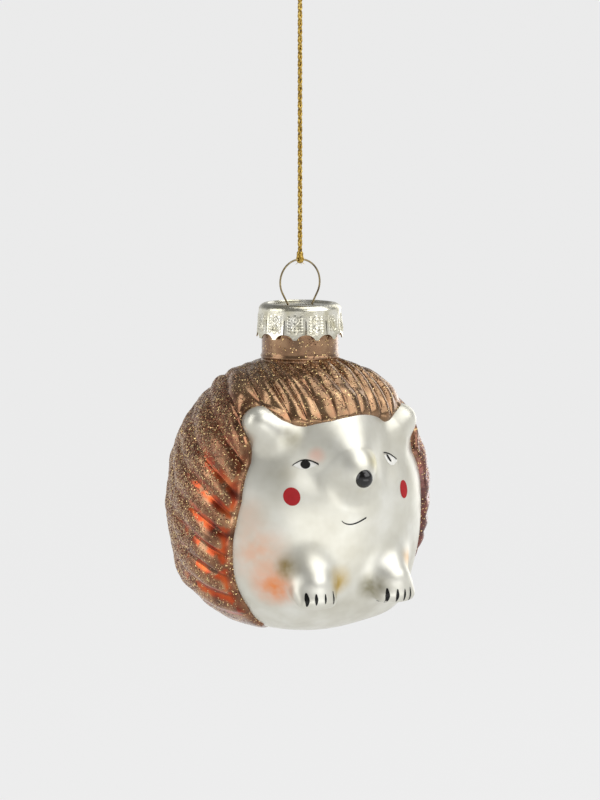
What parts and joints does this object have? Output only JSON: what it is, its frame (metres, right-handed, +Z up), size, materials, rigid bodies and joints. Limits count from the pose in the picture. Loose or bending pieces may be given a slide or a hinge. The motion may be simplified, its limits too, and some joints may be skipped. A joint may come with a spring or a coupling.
{
  "type": "hanging glass hedgehog ornament",
  "caption": "Blown-glass hedgehog ornament with a ridged coat, stamped cap and wire loop, hung on a taut cord that ends in an eye",
  "frame": {"origin": "point inside the top of the cord's eye, where a hook or twig carries the ornament", "axes": "+Z up along the taut cord and the neck's axis, -Y the way the hedgehog looks, +X to the hedgehog's left"},
  "size_m": [0.0594, 0.0597, 0.155],
  "materials": {
    "cord": "metallic gold braid",
    "wire": "drawn, slightly dulled",
    "cap": "stamped, champagne silver",
    "glass": "satin pearl and copper lacquer with glitter"
  },
  "bodies": {
    "hanger": {"hanging_eye": "cord", "cord_knot": "cord"},
    "cord": {"hanging_cord": "cord"},
    "hitch": {"cord_hitch": "cord"},
    "loop": {"wire_loop": "wire"},
    "cap": {"cap": "cap"},
    "glass": {"glass_body": "glass"}
  },
  "joints": [
    {"name": "cord_swing", "type": "hinge", "parent": "hanger", "child": "cord", "pos_m": [0, 0, -0.01185], "axis": [0, 1, 0], "range_deg": [-40, 40]},
    {"name": "cord_twist", "type": "hinge", "parent": "cord", "child": "hitch", "pos_m": [0, 0, -0.07035], "axis": [0, 0, 1], "range_deg": [-180, 180]},
    {"name": "loop_swing", "type": "hinge", "parent": "hitch", "child": "loop", "pos_m": [0, 0, -0.07205], "axis": [1, 0, 0], "range_deg": [-70, 70]},
    {"name": "cap_tilt", "type": "hinge", "parent": "loop", "child": "cap", "pos_m": [0, 0, -0.08243], "axis": [1, 0, 0], "range_deg": [-10, 10]},
    {"name": "cap_pull", "type": "slide", "parent": "cap", "child": "glass", "axis": [0, 0, -1], "range_m": [0, 0.024]}
  ]
}
